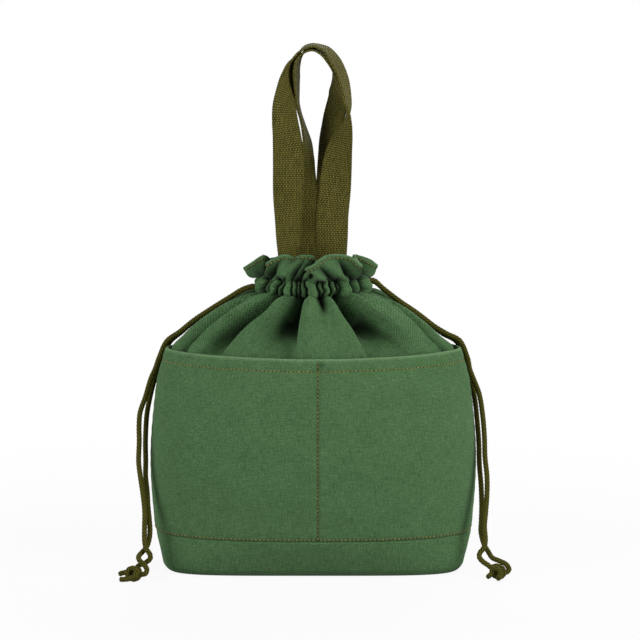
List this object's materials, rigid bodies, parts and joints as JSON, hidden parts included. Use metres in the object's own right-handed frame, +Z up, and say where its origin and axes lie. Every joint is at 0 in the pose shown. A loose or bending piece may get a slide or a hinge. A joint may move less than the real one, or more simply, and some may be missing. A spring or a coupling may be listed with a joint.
{
  "type": "drawstring lunch bag",
  "caption": "Gathered canvas lunch bag with slip pockets round it, a cord tunnel and frill at the neck, two webbing loops to carry it and two knotted draw cords.",
  "frame": {"origin": "middle of the flat underside, on the ground, without the free cords", "axes": "+Z up, front towards -Y, the long side of the bag along X"},
  "size_m": [0.3078, 0.1366, 0.4224],
  "materials": {
    "canvas": "matte woven cotton canvas",
    "webbing": "matte woven webbing",
    "cord": "matte braided cord"
  },
  "bodies": {
    "bag": {"base_panel": "canvas", "front_pocket_panel": "canvas", "back_pocket_panel": "canvas", "front_body_panel": "canvas", "back_body_panel": "canvas", "front_casing": "canvas", "back_casing": "canvas", "front_frill": "canvas", "back_frill": "canvas", "front_handle_left_end": "webbing", "front_handle_right_end": "webbing", "rear_handle_left_end": "webbing", "rear_handle_right_end": "webbing", "left_cord_run": "cord", "right_cord_run": "cord", "left_cord_front": "cord", "left_cord_rear": "cord", "right_cord_front": "cord", "right_cord_rear": "cord", "left_knot": "cord", "right_knot": "cord"},
    "front_handle": {"front_handle": "webbing"},
    "rear_handle": {"rear_handle": "webbing"}
  },
  "joints": [
    {"name": "front_handle_fold", "type": "hinge", "parent": "bag", "child": "front_handle", "pos_m": [0, -0.0134, 0.285], "axis": [1, 0, 0], "range_deg": [0, 90]},
    {"name": "rear_handle_fold", "type": "hinge", "parent": "bag", "child": "rear_handle", "pos_m": [0, 0.0134, 0.285], "axis": [-1, 0, 0], "range_deg": [0, 90]}
  ]
}
